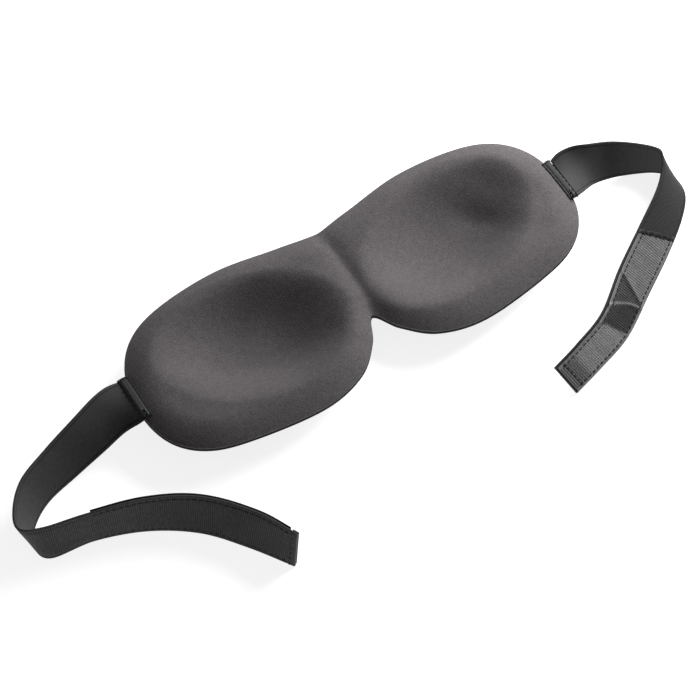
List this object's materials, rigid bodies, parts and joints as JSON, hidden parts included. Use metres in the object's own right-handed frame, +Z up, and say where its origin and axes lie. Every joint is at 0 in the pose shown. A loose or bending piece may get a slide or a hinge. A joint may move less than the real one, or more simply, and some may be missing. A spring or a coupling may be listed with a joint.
{
  "type": "sleep eye mask",
  "caption": "Contoured sleep eye mask with two eye cavities, a nose notch and two sewn webbing straps that close with hook and loop.",
  "frame": {"origin": "under the middle of the whole object, on the surface it lies on", "axes": "+X along the mask from the left lobe to the right one, +Y towards the brow, +Z up, towards the wearer's face"},
  "size_m": [0.3739, 0.1456, 0.0226],
  "materials": {
    "brushed_lining": "matt brushed knit, warm charcoal",
    "foam": "open soft polyurethane foam, dark grey",
    "front_cover": "smooth black knit",
    "webbing": "woven elastic webbing, black",
    "loop_pile": "loop pile, black",
    "hook_film": "moulded hook film, semi-gloss grey",
    "thread": "twisted black thread"
  },
  "bodies": {
    "right_lobe": {"right_face_lining": "brushed_lining", "right_foam_core": "foam", "right_front_cover": "front_cover", "right_root_tab": "webbing", "right_root_tacks": "thread", "right_root_stitches": "thread"},
    "left_lobe": {"left_face_lining": "brushed_lining", "left_foam_core": "foam", "left_front_cover": "front_cover", "left_root_tab": "webbing", "left_root_tacks": "thread", "left_root_stitches": "thread"},
    "left_strap_far": {"left_strap_far_run": "webbing"},
    "left_strap_near": {"left_strap_near_run": "webbing", "loop_strip": "loop_pile", "loop_stitches": "thread", "left_end_hem": "webbing", "left_hem_stitches": "thread"},
    "right_strap_far": {"right_strap_far_run": "webbing"},
    "right_strap_near": {"right_strap_near_run": "webbing", "hook_strip": "hook_film", "hook_stitches": "thread", "hook_bar_tack": "thread"}
  },
  "joints": [
    {"name": "bridge_fold", "type": "hinge", "parent": "right_lobe", "child": "left_lobe", "pos_m": [0.01, 0.038, 0.0188], "axis": [0, 1, 0], "range_deg": [0, 90], "stiffness_Nm_per_rad": 0.02},
    {"name": "left_root", "type": "hinge", "parent": "left_lobe", "child": "left_strap_far", "pos_m": [-0.11045, 0.033, 0.0203], "axis": [0, 1, 0], "range_deg": [-10, 60]},
    {"name": "left_bend", "type": "hinge", "parent": "left_strap_far", "child": "left_strap_near", "pos_m": [-0.1826, -0.001, 0.0002], "axis": [0.1773, -0.133, -0.9751], "range_deg": [-3, 110]},
    {"name": "right_root", "type": "hinge", "parent": "right_lobe", "child": "right_strap_far", "pos_m": [0.13045, 0.027, 0.0199], "axis": [0, -1, 0], "range_deg": [-10, 60]},
    {"name": "right_bend", "type": "hinge", "parent": "right_strap_far", "child": "right_strap_near", "pos_m": [0.18655, 0.0061, 0.0005], "axis": [-0.3246, 0.1855, 0.9275], "range_deg": [-3, 110]}
  ]
}
